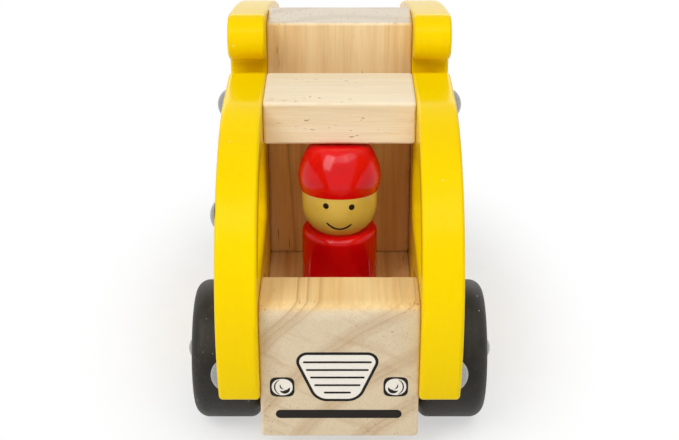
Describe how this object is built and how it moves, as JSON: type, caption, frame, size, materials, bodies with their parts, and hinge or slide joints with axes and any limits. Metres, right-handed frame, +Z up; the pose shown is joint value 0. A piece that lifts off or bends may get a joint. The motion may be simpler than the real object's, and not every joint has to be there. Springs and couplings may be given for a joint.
{
  "type": "toy dump truck",
  "caption": "Wooden toy dump truck: block chassis and cab, painted side panels, tipping bed on a rear hinge, peg driver and spinning wheels.",
  "frame": {"origin": "on the ground, under the middle of the whole toy", "axes": "+Z up, the truck faces -Y, +X is its left side"},
  "size_m": [0.1212, 0.244, 0.1445],
  "materials": {
    "pine": "bare, sanded",
    "beech_dowel": "bare, sanded",
    "yellow_painted_wood": "satin paint",
    "charcoal_painted_wood": "matt paint",
    "red_lacquered_wood": "gloss lacquer",
    "painted_head": "gloss lacquer",
    "bright_steel": "polished",
    "zinc_steel": "zinc plated"
  },
  "bodies": {
    "chassis": {"chassis_beam": "pine", "nose_block": "pine", "cab_back_block": "pine", "cab_roof": "pine", "riser_block": "pine", "cab_side_left": "yellow_painted_wood", "cab_side_right": "yellow_painted_wood", "cab_side_dowels": "beech_dowel", "cab_bolts": "bright_steel", "pillar_stud": "bright_steel", "nose_dowels": "beech_dowel", "roof_dowels": "beech_dowel", "cab_screws": "zinc_steel", "riser_screws": "zinc_steel", "front_axle": "zinc_steel", "rear_axle": "zinc_steel", "front_washers": "zinc_steel", "rear_washers": "zinc_steel", "front_hub_caps": "bright_steel", "rear_hub_caps": "bright_steel", "driver_pin": "beech_dowel"},
    "bed": {"bed_front_wall": "pine", "bed_floor": "pine", "tailgate": "pine", "bed_side_left": "yellow_painted_wood", "bed_side_right": "yellow_painted_wood", "bed_side_dowels": "beech_dowel", "hinge_pin": "beech_dowel"},
    "wheel_front_left": {"front_wheel_left": "charcoal_painted_wood"},
    "wheel_front_right": {"front_wheel_right": "charcoal_painted_wood"},
    "wheel_rear_left": {"rear_wheel_left": "charcoal_painted_wood"},
    "wheel_rear_right": {"rear_wheel_right": "charcoal_painted_wood"},
    "driver": {"driver_body": "red_lacquered_wood", "driver_head": "painted_head"}
  },
  "joints": [
    {"name": "bed_tip", "type": "hinge", "parent": "chassis", "child": "bed", "pos_m": [0, 0.078, 0.0655], "axis": [-1, 0, 0], "range_deg": [0, 30]},
    {"name": "front_left_spin", "type": "hinge", "parent": "chassis", "child": "wheel_front_left", "pos_m": [0.0442, -0.0785, 0.0275], "axis": [1, 0, 0], "continuous": true},
    {"name": "front_right_spin", "type": "hinge", "parent": "chassis", "child": "wheel_front_right", "pos_m": [-0.0442, -0.0785, 0.0275], "axis": [1, 0, 0], "continuous": true},
    {"name": "rear_left_spin", "type": "hinge", "parent": "chassis", "child": "wheel_rear_left", "pos_m": [0.0442, 0.073, 0.0275], "axis": [1, 0, 0], "continuous": true},
    {"name": "rear_right_spin", "type": "hinge", "parent": "chassis", "child": "wheel_rear_right", "pos_m": [-0.0442, 0.073, 0.0275], "axis": [1, 0, 0], "continuous": true},
    {"name": "driver_turn", "type": "hinge", "parent": "chassis", "child": "driver", "pos_m": [0, -0.051, 0.041], "axis": [0, 0, 1], "continuous": true}
  ]
}
